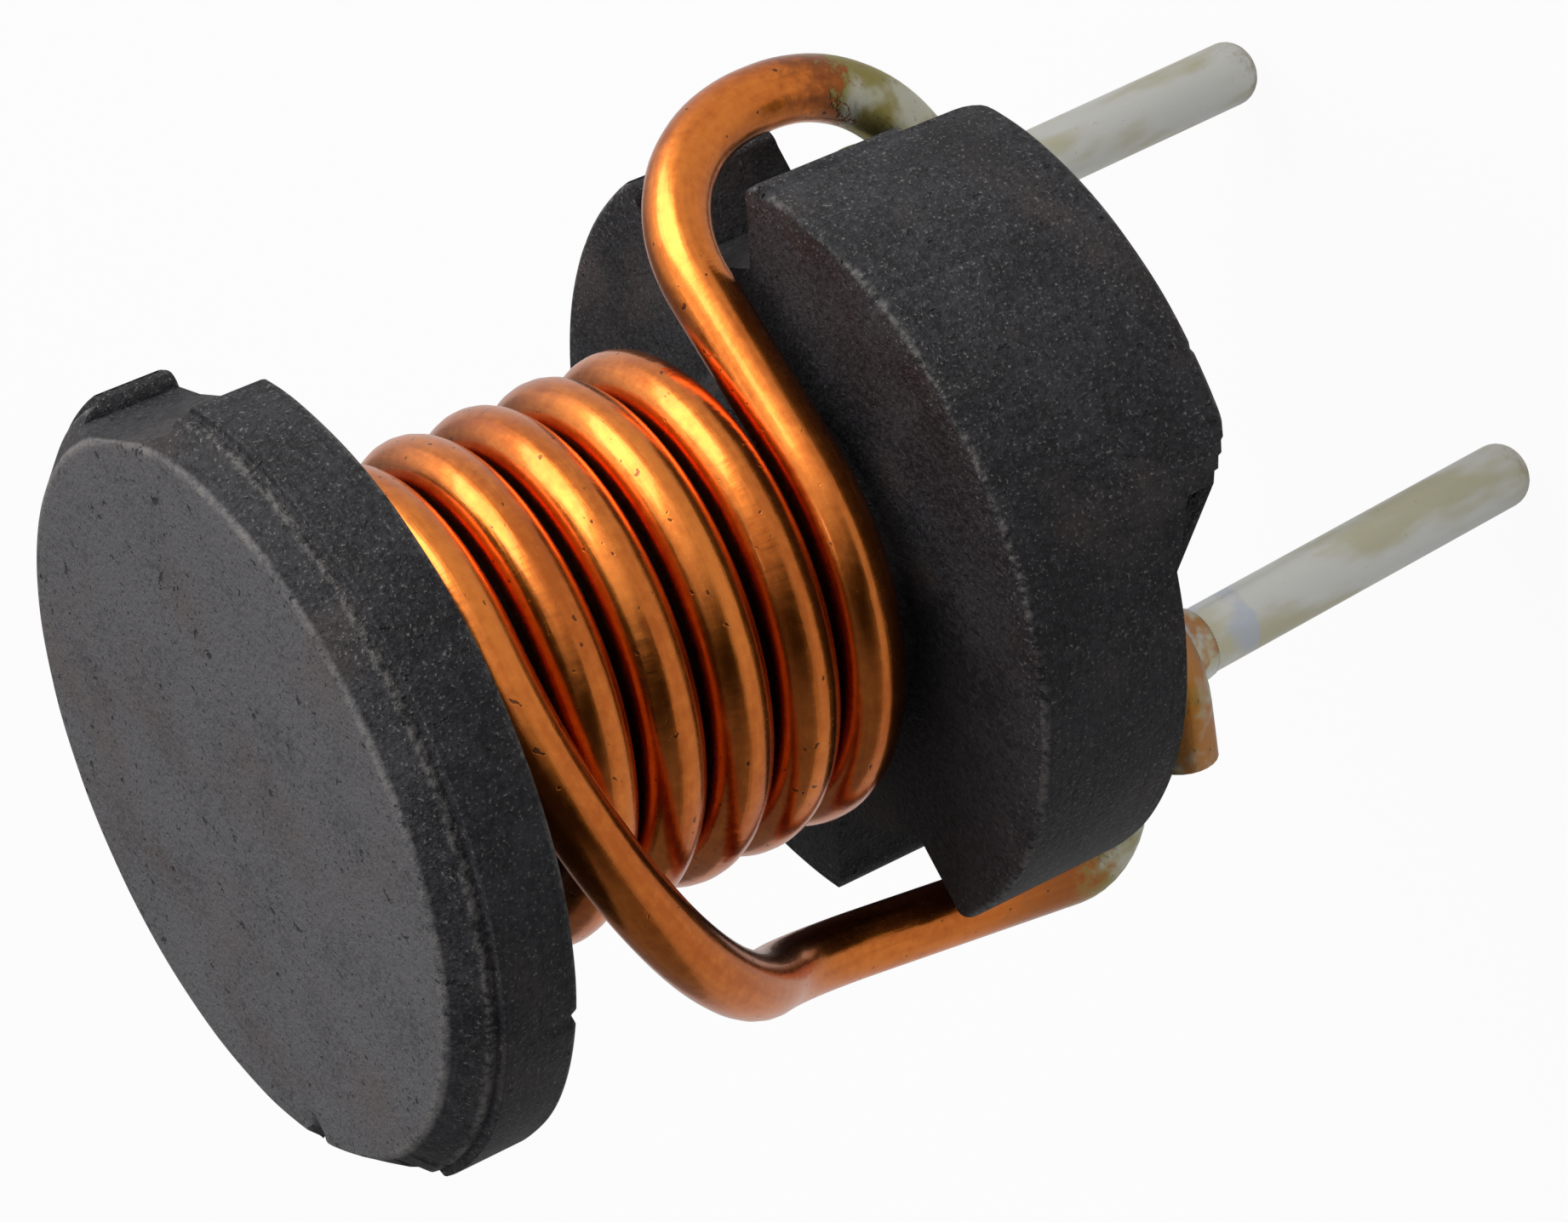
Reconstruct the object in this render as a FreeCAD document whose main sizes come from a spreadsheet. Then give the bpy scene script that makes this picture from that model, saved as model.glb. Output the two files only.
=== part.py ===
"""Drum core inductor with two leads, drawn from its driving dimensions.

A pressed ferrite drum stands on its pin end, with +Z up and Z = 0 at the board.
The two leads lie on the X axis, either side of the origin.
"""
import math
import os
import re

import FreeCAD
import Part
import Sketcher

V = FreeCAD.Vector

# Driving dimensions, in millimetres, degrees and turns.
SIZES = [
    ("flange_radius", 3.75, "both flanges of the drum"),
    ("waist_radius", 1.726, "ground waist that carries the coil"),
    ("lower_flange", 2.53, "thickness of the pin-end flange, pads included"),
    ("winding_window", 4.93, "clear height between the flanges"),
    ("upper_flange", 1.12, "thickness of the plain-end flange"),
    ("waist_fillet", 0.12, "corner where the waist meets a flange"),
    ("face_chamfer_reach", 0.29, "radial reach of the wide chamfer on the plain face"),
    ("face_chamfer_depth", 0.28, "depth of that chamfer"),
    ("press_step", 0.09, "radial step that the punch leaves under the chamfer"),
    ("press_land", 0.10, "height of the narrow land above the step"),
    ("lower_edge_chamfer", 0.12, "broken edge of the pin-end face"),
    ("seat_gap", 0.78, "board to the pads, held open by the arched lead-out"),
    ("pocket_depth", 0.93, "pin-end pockets, from the pads up to their floor"),
    ("pocket_hub", 0.60, "distance from the axis to a pocket's inner corner"),
    ("pocket_notch_side", -52.0, "pocket wall beside the notch, angle at the axis"),
    ("pocket_floor_side", 49.0, "pocket wall opposite, at the floor"),
    ("pocket_pad_side", 64.0, "pocket wall opposite, at the pad"),
    ("notch_angle", 147.5, "direction of the first wire notch, the second is opposite"),
    ("lower_notch_width", 2.07, "wire notch through the pin-end flange, at the rim"),
    ("lower_notch_floor", 1.45, "width of that notch at its floor"),
    ("lower_notch_depth", 0.97, "depth of that notch from the rim"),
    ("upper_notch_width", 1.85, "shallow notch in the plain-end flange, at the rim"),
    ("upper_notch_floor", 0.95, "width of that notch at its floor"),
    ("upper_notch_depth", 0.38, "depth of that notch from the rim"),
    ("wire_radius", 0.324, "enamelled copper wire"),
    ("wire_sides", 12, "flats drawn round the wire's section, at the same area as the circle"),
    ("coil_clearance", 0.02, "waist to the inside of the coil"),
    ("coil_pitch", 0.7225, "rise of one turn"),
    ("coil_drop", 0.755, "upper flange down to the first turn's centre line"),
    ("coil_start_angle", 84.0, "where the lower lead-out leaves the coil's top"),
    ("coil_end_angle", 94.5, "where the arched lead-out leaves the coil's foot"),
    ("whole_turns", 5.0, "full turns between those two places"),
    ("pin_radius", 0.325, "tinned lead"),
    ("dip_coat", 0.01, "extra tin on the free end, from dipping it up to the board plane"),
    ("pin_pitch", 5.0, "between the leads' centres"),
    ("pin_below_board", 3.88, "free length under the board plane"),
    ("pin_seat_depth", 1.10, "depth of the lead's hole above the pocket floor"),
    ("pin_fit", 0.02, "radial room for the adhesive round the lead"),
    ("pin_tip_round", 0.22, "rounded end of the lead"),
    ("hook_gap", 0.04, "lead to the wire hooked round it"),
    ("tail_angle", 43.4, "where the hook's tail leaves the lead, angle round the lead"),
    ("tail_length", 0.55, "straight tail past the hook"),
    ("low_hook_drop", 0.68, "pocket floor down to the hook of the straight lead-out"),
    ("arch_stand_off", 0.24, "rim to the arched lead-out's outer run, at its centre line"),
    ("arch_foot_angle", 156.0, "direction of the arch's foot"),
    ("arch_bend", 1.68, "centre-line radius of the arch as it turns down"),
    ("arch_foot_bend", 1.70, "centre-line radius where it turns in under the rim"),
    ("shoulder_inset", 0.23, "how far the straight lead-out's shoulder lies inside the rim"),
    ("straight_angle", -25.9, "direction of that shoulder"),
    ("straight_drop", 3.455, "upper flange down to that shoulder"),
    ("straight_stand_off", 0.215, "rim to the straight lead-out's centre line in its notch"),
    ("straight_foot_angle", -26.9, "direction of that foot"),
    ("shoulder_bend", 1.83, "centre-line radius at the shoulder"),
    ("foot_bend", 0.60, "centre-line radius over the flange's lower edge"),
    ("leave_run", 3.80, "first straight stretch off the coil"),
    ("leave_bend", 3.0, "gentle bend after that stretch"),
    ("hook_ease", 0.95, "share of the hook's radius that its bends take"),
    ("solder_radius", 0.95, "solder joint at the hook"),
    ("solder_rise", 0.50, "joint above the hook's centre line"),
    ("solder_fall", 0.80, "joint below that line, where the board leaves room"),
    ("solder_hollow", 0.35, "share by which the joint's surface is drawn in"),
    ("solder_board_gap", 0.08, "board up to the foot of a solder joint"),
]


def makeSheet(doc):
    sheet = doc.addObject("Spreadsheet::Sheet", "sizes")
    for row, (name, value, note) in enumerate(SIZES, start=1):
        sheet.set("A%d" % row, name)
        sheet.set("B%d" % row, str(value))
        sheet.set("C%d" % row, note)
        sheet.setAlias("B%d" % row, name)
    doc.recompute()
    return sheet


def originPlane(body, role):
    for feature in body.Origin.OriginFeatures:
        if feature.Role == role:
            return feature
    raise ValueError("no plane " + role)


def newSketch(body, name, role, offset=None, turn=None):
    """Attach an empty sketch to one of the body's own origin planes."""
    sketch = body.newObject("Sketcher::SketchObject", name)
    sketch.AttachmentSupport = [(originPlane(body, role), "")]
    sketch.MapMode = "FlatFace"
    if offset is not None:
        sketch.setExpression("AttachmentOffset.Base.z", offset)
    if turn is not None:
        sketch.setExpression("AttachmentOffset.Rotation.Angle", turn)
    return sketch


def inSheet(expression):
    """Write an expression of plain size names the way the document spells it."""
    out = expression
    for name, _, _ in SIZES:
        out = re.sub(r"\b" + name + r"\b", "sizes." + name, out)
    return out


def addPolygon(sketch, corners):
    """Close a polygon. Each corner is an (across, up) pair of expressions."""
    count = len(corners)
    guess = [V(math.cos(2 * math.pi * i / count), math.sin(2 * math.pi * i / count), 0) for i in range(count)]
    for i in range(count):
        sketch.addGeometry(Part.LineSegment(guess[i], guess[(i + 1) % count]), False)
    for i in range(count):
        sketch.addConstraint(Sketcher.Constraint("Coincident", i, 2, (i + 1) % count, 1))
    for i, (across, up) in enumerate(corners):
        for kind, expression, value in (("DistanceX", across, guess[i].x), ("DistanceY", up, guess[i].y)):
            index = sketch.addConstraint(Sketcher.Constraint(kind, -1, 1, i, 1, value))
            sketch.setExpression("Constraints[%d]" % index, inSheet(expression))


def cutFromSketch(body, name, sketch, length, upwards):
    pocket = body.newObject("PartDesign::Pocket", name)
    pocket.Profile = sketch
    pocket.Reversed = upwards
    pocket.setExpression("Length", inSheet(length))
    body.Tip = pocket
    return pocket


def repeatOpposite(body, name, feature):
    """Repeat a cut half a turn further round the drum."""
    pattern = body.newObject("PartDesign::PolarPattern", name)
    pattern.Originals = [feature]
    pattern.Axis = (originPlane(body, "Z_Axis"), [""])
    pattern.Angle = 360
    pattern.Occurrences = 2
    body.Tip = pattern
    return pattern


def revolveSketch(body, name, sketch):
    solid = body.newObject("PartDesign::Revolution", name)
    solid.Profile = sketch
    solid.ReferenceAxis = (sketch, ["V_Axis"])
    solid.Angle = 360
    body.Tip = solid
    return solid


def roundEdges(body, name, base, edges, radius):
    rounding = body.newObject("PartDesign::Fillet", name)
    rounding.Base = (base, edges)
    rounding.setExpression("Radius", inSheet(radius))
    body.Tip = rounding
    return rounding


def circlesOf(shape, radius, height=None):
    """Name the circular edges of one radius, at one height where it is given."""
    names = []
    for i, edge in enumerate(shape.Edges, start=1):
        if not isinstance(edge.Curve, Part.Circle):
            continue
        if abs(edge.Curve.Radius - radius) > 1e-6:
            continue
        if height is None or abs(edge.Curve.Center.z - height) < 1e-6:
            names.append("Edge%d" % i)
    return names


def makeDrumCore(doc, size):
    body = doc.addObject("PartDesign::Body", "DrumCore")
    body.Label = "drum_core"
    pads = "seat_gap"
    lowerInner = "seat_gap + lower_flange"
    upperInner = lowerInner + " + winding_window"
    plainFace = upperInner + " + upper_flange"
    ridge = plainFace + " - face_chamfer_depth"
    profile = newSketch(body, "DrumProfile", "XZ_Plane")
    addPolygon(profile, [
        ("0", pads),
        ("flange_radius - lower_edge_chamfer", pads),
        ("flange_radius", pads + " + lower_edge_chamfer"),
        ("flange_radius", lowerInner),
        ("waist_radius", lowerInner),
        ("waist_radius", upperInner),
        ("flange_radius", upperInner),
        ("flange_radius", ridge + " - press_land"),
        ("flange_radius - press_step", ridge + " - press_land"),
        ("flange_radius - press_step", ridge),
        ("flange_radius - press_step - face_chamfer_reach", plainFace),
        ("0", plainFace),
    ])
    drum = revolveSketch(body, "DrumTurned", profile)
    doc.recompute()
    roundEdges(body, "WaistCorners", drum, circlesOf(drum.Shape, size("waist_radius")), "waist_fillet")
    makeNotches(body, "Lower", pads, "lower_flange + winding_window / 2")
    makeNotches(body, "Upper", upperInner + " - winding_window / 2", "upper_flange + winding_window / 2")
    makePockets(body)
    floor = "seat_gap + pocket_depth"
    circle = newSketch(body, "PinHoleCircle", "XY_Plane", inSheet(floor))
    circle.addGeometry(Part.Circle(V(1, 0, 0), V(0, 0, 1), 1), False)
    for kind, expression in (("Radius", "pin_radius + pin_fit"), ("DistanceX", "pin_pitch / 2")):
        if kind == "Radius":
            index = circle.addConstraint(Sketcher.Constraint(kind, 0, 1))
        else:
            index = circle.addConstraint(Sketcher.Constraint(kind, -1, 1, 0, 3, 1))
        circle.setExpression("Constraints[%d]" % index, inSheet(expression))
    circle.addConstraint(Sketcher.Constraint("PointOnObject", 0, 3, -1))
    hole = cutFromSketch(body, "PinHole", circle, "pin_seat_depth", True)
    doc.recompute()
    repeatOpposite(body, "PinHoles", hole)
    return body


def makeNotches(body, which, start, length):
    """Cut one flange's pair of wire notches, each a trapezoid open at the rim."""
    low = which.lower()
    beyond = "flange_radius + 1"
    flare = "(%s_notch_width - %s_notch_floor) / 2 / %s_notch_depth" % (low, low, low)
    outer = "%s_notch_width / 2 + %s" % (low, flare)
    inner = "%s_notch_floor / 2" % low
    depth = "flange_radius - %s_notch_depth" % low
    sketch = newSketch(body, which + "NotchShape", "XY_Plane", inSheet(start), inSheet("notch_angle"))
    addPolygon(sketch, [
        (depth, "0 - " + inner),
        (beyond, "0 - (" + outer + ")"),
        (beyond, outer),
        (depth, inner),
    ])
    notch = cutFromSketch(body, which + "Notch", sketch, length, True)
    body.Document.recompute()
    repeatOpposite(body, which + "Notches", notch)


def makePockets(body):
    """Sink the two pockets that leave the pin end standing on a pair of pads."""
    floor = pocketSketch(body, "PocketFloor", "seat_gap + pocket_depth", "pocket_floor_side")
    mouth = pocketSketch(body, "PocketMouth", "seat_gap", "pocket_pad_side")
    pocket = body.newObject("PartDesign::SubtractiveLoft", "Pocket")
    pocket.Profile = mouth
    pocket.Sections = [floor]
    pocket.Ruled = True
    body.Tip = pocket
    body.Document.recompute()
    repeatOpposite(body, "Pockets", pocket)


def pocketSketch(body, name, level, side):
    """Outline a pocket: two walls from its inner corner out past the rim."""
    sketch = newSketch(body, name, "XY_Plane", inSheet(level))
    walls = []
    for angle in ("pocket_notch_side", side):
        across = "2 * flange_radius * cos(%s * 1deg) - pocket_hub" % angle
        up = "2 * flange_radius * sin(%s * 1deg)" % angle
        walls.append((across, up))
    addPolygon(sketch, [
        ("pocket_hub", "0"),
        walls[0],
        ("2 * flange_radius", "0 - flange_radius"),
        ("2 * flange_radius", "flange_radius"),
        walls[1],
    ])
    return sketch


def makePin(doc, size, number, side):
    """Turn one straight lead with a rounded end, from its hole down past the board."""
    body = doc.addObject("PartDesign::Body", "Pin%d" % number)
    body.Label = "pin_%d" % number
    top = "seat_gap + pocket_depth + pin_seat_depth"
    profile = newSketch(body, "PinProfile%d" % number, "XZ_Plane")
    addPolygon(profile, [
        ("0", "0 - pin_below_board"),
        ("pin_radius", "0 - pin_below_board"),
        ("pin_radius", "0"),
        ("pin_radius - dip_coat", "0"),
        ("pin_radius - dip_coat", top),
        ("0", top),
    ])
    rod = revolveSketch(body, "PinTurned%d" % number, profile)
    doc.recompute()
    tip = circlesOf(rod.Shape, size("pin_radius"), -size("pin_below_board"))
    roundEdges(body, "PinTip%d" % number, rod, tip, "pin_tip_round")
    body.setExpression("Placement.Base.x", inSheet("%d * pin_pitch / 2" % side))
    return body


def polar(radius, degrees, height):
    turn = math.radians(degrees)
    return V(radius * math.cos(turn), radius * math.sin(turn), height)


def routeEdges(corners, bends):
    """Join corners by straight runs and tangent arcs, one bend radius per inner corner."""
    edges = []
    start = corners[0]
    for i in range(1, len(corners) - 1):
        before = (corners[i] - corners[i - 1]).normalize()
        after = (corners[i + 1] - corners[i]).normalize()
        half = before.getAngle(after) / 2
        reach = bends[i - 1] * math.tan(half)
        enter = corners[i] - before * reach
        leave = corners[i] + after * reach
        inward = (after - before).normalize()
        middle = corners[i] + inward * (bends[i - 1] / math.cos(half) - bends[i - 1])
        if (enter - start).dot(before) < -1e-6:
            raise ValueError("bend %d does not fit its run" % i)
        if (enter - start).Length > 1e-6:
            edges.append(Part.LineSegment(start, enter).toShape())
        edges.append(Part.Arc(enter, middle, leave).toShape())
        start = leave
    edges.append(Part.LineSegment(start, corners[-1]).toShape())
    return edges


def hookCorners(size, side, height, source):
    """Lay a hook round one lead, from the source's side on to its straight tail.

    The wire runs clockwise round the lead. Its two corners are where the tangents
    of the incoming run, the hook's middle and the tail cross each other.
    """
    centre = V(side * size("pin_pitch") / 2, 0, height)
    radius = size("pin_radius") + size("hook_gap") + size("wire_radius")
    tail = size("tail_angle") + (180 if side < 0 else 0)
    flat = V(source.x, source.y, height)
    away = flat - centre
    bearing = math.degrees(math.atan2(away.y, away.x))
    enter = bearing - math.degrees(math.acos(radius / away.Length))
    swing = (enter - tail) % 360
    corners = []
    for part in (0.75, 0.25):
        angle = tail + part * swing
        corners.append(centre + polar(radius / math.cos(math.radians(swing / 4)), angle, 0))
    touch = centre + polar(radius, tail, 0)
    end = touch + polar(size("tail_length"), tail - 90, 0)
    return corners + [end], radius * size("hook_ease")


def wireSection(size, centre, along):
    """Draw the wire's section square to its path, with the area of the round wire."""
    sides = int(size("wire_sides"))
    step = 2 * math.pi / sides
    corner = size("wire_radius") * math.sqrt(step / math.sin(step))
    turn = FreeCAD.Rotation(V(0, 0, 1), along)
    corners = [centre + turn.multVec(V(corner * math.cos(i * step), corner * math.sin(i * step), 0))
               for i in range(sides)]
    return Part.makePolygon(corners + corners[:1])


def makeWinding(doc, size):
    """Draw the whole winding as one round wire swept along one path."""
    coilRadius = size("waist_radius") + size("coil_clearance") + size("wire_radius")
    upperInner = size("seat_gap") + size("lower_flange") + size("winding_window")
    turns = size("whole_turns") + (size("coil_end_angle") - size("coil_start_angle")) / 360
    coilHead = upperInner - size("coil_drop")
    coilFoot = coilHead - turns * size("coil_pitch")
    climb = size("coil_pitch") / (2 * math.pi * coilRadius)

    helix = doc.addObject("Part::Helix", "CoilHelix")
    helix.LocalCoord = "Left-handed"
    helix.setExpression("Pitch", inSheet("coil_pitch"))
    helix.setExpression("Radius", inSheet("waist_radius + coil_clearance + wire_radius"))
    helix.setExpression("Height", inSheet("(whole_turns + (coil_end_angle - coil_start_angle) / 360) * coil_pitch"))
    helix.setExpression("Placement.Rotation.Angle", inSheet("coil_end_angle"))
    helix.Placement = FreeCAD.Placement(V(0, 0, coilFoot), FreeCAD.Rotation(V(0, 0, 1), size("coil_end_angle")))
    doc.recompute()

    foot = polar(coilRadius, size("coil_end_angle"), coilFoot)
    offFoot = polar(1, size("coil_end_angle") + 90, -climb)
    archReach = size("flange_radius") + size("arch_stand_off")
    archTop = foot + offFoot * math.sqrt(archReach ** 2 - coilRadius ** 2)
    archFoot = polar(archReach, size("arch_foot_angle"), size("wire_radius"))
    archHook, hookBend = hookCorners(size, -1, size("wire_radius"), archFoot)
    arch = routeEdges([foot, archTop, archFoot] + archHook,
                      [size("arch_bend"), size("arch_foot_bend"), hookBend, hookBend])

    head = polar(coilRadius, size("coil_start_angle"), coilHead)
    offHead = polar(1, size("coil_start_angle") - 90, climb)
    ease = head + offHead * size("leave_run")
    shoulder = polar(size("flange_radius") - size("shoulder_inset"), size("straight_angle"),
                     upperInner - size("straight_drop"))
    lowHook = size("seat_gap") + size("pocket_depth") - size("low_hook_drop")
    over = polar(size("flange_radius") + size("straight_stand_off"), size("straight_foot_angle"), lowHook)
    straightHook, hookBend = hookCorners(size, 1, lowHook, over)
    straight = routeEdges([head, ease, shoulder, over] + straightHook,
                          [size("leave_bend"), size("shoulder_bend"), size("foot_bend"), hookBend, hookBend])

    path = Part.Wire(Part.__sortEdges__(arch + helix.Shape.Edges + straight))
    section = wireSection(size, straightHook[-1], straightHook[-1] - straightHook[-2])
    winding = doc.addObject("Part::Feature", "Winding")
    winding.Label = "winding"
    winding.Shape = path.makePipeShell([section], True, False)
    wanted = math.pi * size("wire_radius") ** 2 * path.Length
    print("winding: wire %.1f mm long, volume %.3f of %.3f mm3" % (path.Length, winding.Shape.Volume, wanted))
    return winding


def makeSolder(doc, size, number, side, hookHeight, winding):
    """Fill the hook, with a plain slope up the lead and a hollow curve down it."""
    lead = size("pin_radius") - size("dip_coat")
    top = V(lead, 0, hookHeight + size("solder_rise"))
    outer = V(size("solder_radius"), 0, hookHeight)
    low = V(lead, 0, max(size("solder_board_gap"), hookHeight - size("solder_fall")))
    middle = (outer + low) * 0.5
    hollow = middle + (V(lead, 0, hookHeight) - middle) * size("solder_hollow")
    edges = [
        Part.LineSegment(top, outer).toShape(),
        Part.Arc(outer, hollow, low).toShape(),
        Part.LineSegment(low, top).toShape(),
    ]
    mound = Part.Face(Part.Wire(edges)).revolve(V(0, 0, 0), V(0, 0, 1), 360)
    place = V(side * size("pin_pitch") / 2, 0, 0)
    wire = winding.Shape.copy()
    wire.translate(-place)
    solder = doc.addObject("Part::Feature", "Solder%d" % number)
    solder.Label = "solder_%d" % number
    solder.Shape = mound.cut(wire)
    solder.Placement = FreeCAD.Placement(place, FreeCAD.Rotation())
    return solder


def checkDocument(doc, pieces):
    for item in doc.Objects:
        if "Invalid" in item.State or "Error" in item.State:
            raise RuntimeError("%s failed: %s" % (item.Name, item.State))
    for piece in pieces:
        shape = piece.Shape
        if shape.isNull() or not shape.isValid() or shape.Volume <= 0:
            raise RuntimeError(piece.Label + " has no sound shape")
        print("%-10s solids %d  volume %.3f mm3" % (piece.Label, len(shape.Solids), shape.Volume))


def main():
    doc = FreeCAD.newDocument("DrumCoreInductor")
    sheet = makeSheet(doc)

    def size(name):
        return float(sheet.get(name))

    core = makeDrumCore(doc, size)
    pins = [makePin(doc, size, 1, -1), makePin(doc, size, 2, 1)]
    winding = makeWinding(doc, size)
    lowHook = size("seat_gap") + size("pocket_depth") - size("low_hook_drop")
    joints = [
        makeSolder(doc, size, 1, -1, size("wire_radius"), winding),
        makeSolder(doc, size, 2, 1, lowHook, winding),
    ]
    doc.recompute()
    pieces = [core, winding] + pins + joints
    checkDocument(doc, pieces)
    os.makedirs("parts", exist_ok=True)
    for piece in pieces:
        piece.Shape.exportStep("parts/%s.step" % piece.Label)


main()
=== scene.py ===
import math
import random

import bpy
from mathutils import Matrix, Vector, noise
from mathutils.kdtree import KDTree


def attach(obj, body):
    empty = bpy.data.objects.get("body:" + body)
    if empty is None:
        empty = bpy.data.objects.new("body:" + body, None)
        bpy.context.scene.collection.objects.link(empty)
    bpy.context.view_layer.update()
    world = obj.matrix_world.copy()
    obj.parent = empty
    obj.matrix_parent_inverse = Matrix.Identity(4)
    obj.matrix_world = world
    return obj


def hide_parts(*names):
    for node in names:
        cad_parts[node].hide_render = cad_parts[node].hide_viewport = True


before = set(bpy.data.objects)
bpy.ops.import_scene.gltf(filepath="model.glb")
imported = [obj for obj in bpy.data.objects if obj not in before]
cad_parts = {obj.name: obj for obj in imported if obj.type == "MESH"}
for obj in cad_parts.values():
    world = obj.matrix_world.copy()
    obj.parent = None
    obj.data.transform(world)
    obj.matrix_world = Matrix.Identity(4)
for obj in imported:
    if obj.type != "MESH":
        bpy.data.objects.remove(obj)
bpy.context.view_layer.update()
mm = 0.001
print("frame loaded")


def deselectAll():
    if bpy.context.object and bpy.context.object.mode != "OBJECT":
        bpy.ops.object.mode_set(mode="OBJECT")
    bpy.ops.object.select_all(action="DESELECT")


def makeActive(piece):
    deselectAll()
    piece.select_set(True)
    bpy.context.view_layer.objects.active = piece


def newest(name):
    piece = bpy.context.object
    piece.name = name
    piece.data.name = name
    return piece


def applyModifier(piece, kind, **settings):
    makeActive(piece)
    modifier = piece.modifiers.new(kind.lower(), kind)
    for key, value in settings.items():
        setattr(modifier, key, value)
    bpy.ops.object.modifier_apply(modifier=modifier.name)


def settle(piece):
    # put the place, turn and size of the object into its mesh
    makeActive(piece)
    bpy.ops.object.transform_apply(location=True, rotation=True, scale=True)


def carve(piece, cutter):
    applyModifier(piece, "BOOLEAN", operation="DIFFERENCE", solver="EXACT", object=cutter)
    bpy.data.objects.remove(cutter)


def around(radius, degrees, height):
    turn = math.radians(degrees)
    return Vector((radius * math.cos(turn), radius * math.sin(turn), height))


# all sizes are in millimetres and all angles in degrees
drum = dict(
    flangeRadius=3.75, waistRadius=1.726, padLevel=0.78,
    lowerFlange=2.53, window=4.93, upperFlange=1.12,
    chamferReach=0.29, chamferDepth=0.28, pressStep=0.09, pressLand=0.10, pressRound=0.03, ridgeRound=0.05,
    edgeRound=0.07, chamferRound=0.09, waistRound=0.12, segments=432,
    centreRing=0.4, faceRing=3.0, innerRing=3.2,
    notchAngle=147.5, lowerNotch=(2.07, 1.45, 0.97), upperNotch=(1.85, 0.95, 0.38),
    pocketDepth=0.93, pocketHub=0.60, pocketSides=(-52, 49, 64),
    waviness=0.016, waveScale=1.6, padRound=0.34, mouthRound=0.16, mouthInset=0.04,
    softEdge=0.05, softAngle=38,
)

# chips broken off the pressed edges: (edge radius, edge height, angle, size)
chips = dict(
    seed=11, count=34, sizes=(0.04, 0.08), wornFrom=3.25, edgeReach=0.25,
    placed=[
        (3.68, 9.08, 342, 0.13), (3.68, 9.08, 349, 0.11), (3.40, 9.36, 318, 0.16), (3.66, 9.10, 306, 0.12),
        (3.75, 8.24, 24, 0.11), (3.75, 8.24, 133, 0.09), (3.75, 3.31, 127, 0.10), (3.75, 3.31, 101, 0.08),
    ],
)


def drumLevels():
    # heights of the pin end, of the two flanges' inner faces and of the plain face
    pads = drum["padLevel"]
    lowerInner = pads + drum["lowerFlange"]
    upperInner = lowerInner + drum["window"]
    return pads, lowerInner, upperInner, upperInner + drum["upperFlange"]


def roundCorners(corners, steps=4):
    # corners are (radius, height, rounding); returns the lathe's stations
    stations = [Vector(corners[0][:2])]
    for before, here, after in zip(corners, corners[1:], corners[2:]):
        corner = Vector(here[:2])
        toBefore = (Vector(before[:2]) - corner).normalized()
        toAfter = (Vector(after[:2]) - corner).normalized()
        half = toBefore.angle(toAfter) / 2
        if here[2] <= 0:
            stations.append(corner)
            continue
        reach = here[2] / math.tan(half)
        middle = corner + (toBefore + toAfter).normalized() * here[2] / math.sin(half)
        start = corner + toBefore * reach - middle
        end = corner + toAfter * reach - middle
        for i in range(steps + 1):
            share = i / steps
            stations.append(middle + start.slerp(end, share) * here[2])
    stations.append(Vector(corners[-1][:2]))
    return stations


def latheUp(name, stations, segments):
    # a filled circle, extruded and scaled from one station to the next
    first = stations[0]
    deselectAll()
    bpy.ops.mesh.primitive_circle_add(
        vertices=segments, radius=first[0] * mm, fill_type="NGON", location=(0, 0, first[1] * mm))
    piece = newest(name)
    settle(piece)
    bpy.ops.object.mode_set(mode="EDIT")
    bpy.ops.mesh.select_all(action="SELECT")
    for before, here in zip(stations, stations[1:]):
        bpy.ops.mesh.extrude_region_move(
            TRANSFORM_OT_translate={"value": (0, 0, (here[1] - before[1]) * mm)})
        grow = here[0] / before[0]
        bpy.ops.transform.resize(value=(grow, grow, 1), center_override=(0, 0, 0))
    bpy.ops.mesh.select_all(action="SELECT")
    bpy.ops.mesh.remove_doubles(threshold=1e-7)
    bpy.ops.mesh.normals_make_consistent(inside=False)
    bpy.ops.object.mode_set(mode="OBJECT")
    return piece


def prism(name, outlines, heights, turn=0):
    # outlines of equally many points, one at each height, filled and joined upwards
    count = len(outlines[0])
    deselectAll()
    bpy.ops.mesh.primitive_circle_add(vertices=count, radius=mm, fill_type="NGON")
    piece = newest(name)
    bpy.ops.object.mode_set(mode="EDIT")
    bpy.ops.mesh.select_all(action="SELECT")
    for before, here in zip(heights, heights[1:]):
        bpy.ops.mesh.extrude_region_move(TRANSFORM_OT_translate={"value": (0, 0, (here - before) * mm)})
    bpy.ops.object.mode_set(mode="OBJECT")
    spin = Matrix.Rotation(math.radians(turn), 3, "Z")
    for vertex in piece.data.vertices:
        level = min(range(len(heights)), key=lambda i: abs(vertex.co.z / mm - (heights[i] - heights[0])))
        bearing = math.degrees(math.atan2(vertex.co.y, vertex.co.x)) % 360
        corner = round((bearing - 90) * count / 360) % count
        vertex.co = spin @ Vector((*outlines[level][corner], heights[level])) * mm
    makeActive(piece)
    bpy.ops.object.mode_set(mode="EDIT")
    bpy.ops.mesh.select_all(action="SELECT")
    bpy.ops.mesh.normals_make_consistent(inside=False)
    bpy.ops.object.mode_set(mode="OBJECT")
    return piece


def notchOutline(size):
    # a trapezoid open at the rim, its mouth rounded over
    width, floor, depth = size
    rim = drum["flangeRadius"]
    mouth = drum["mouthRound"]
    edge = math.sqrt(rim ** 2 - (width / 2 + mouth) ** 2)
    side = [(rim - depth, floor / 2)]
    for i in range(6):
        turn = math.radians(i * 18)
        flare = mouth * (1 - math.cos(turn)) - drum["mouthInset"]
        side.append((edge - mouth + mouth * math.sin(turn), width / 2 + flare))
    side.append((rim + 1, width / 2 + mouth + 0.2))  # well outside the flange
    return side + [(x, -y) for x, y in reversed(side)]


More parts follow.
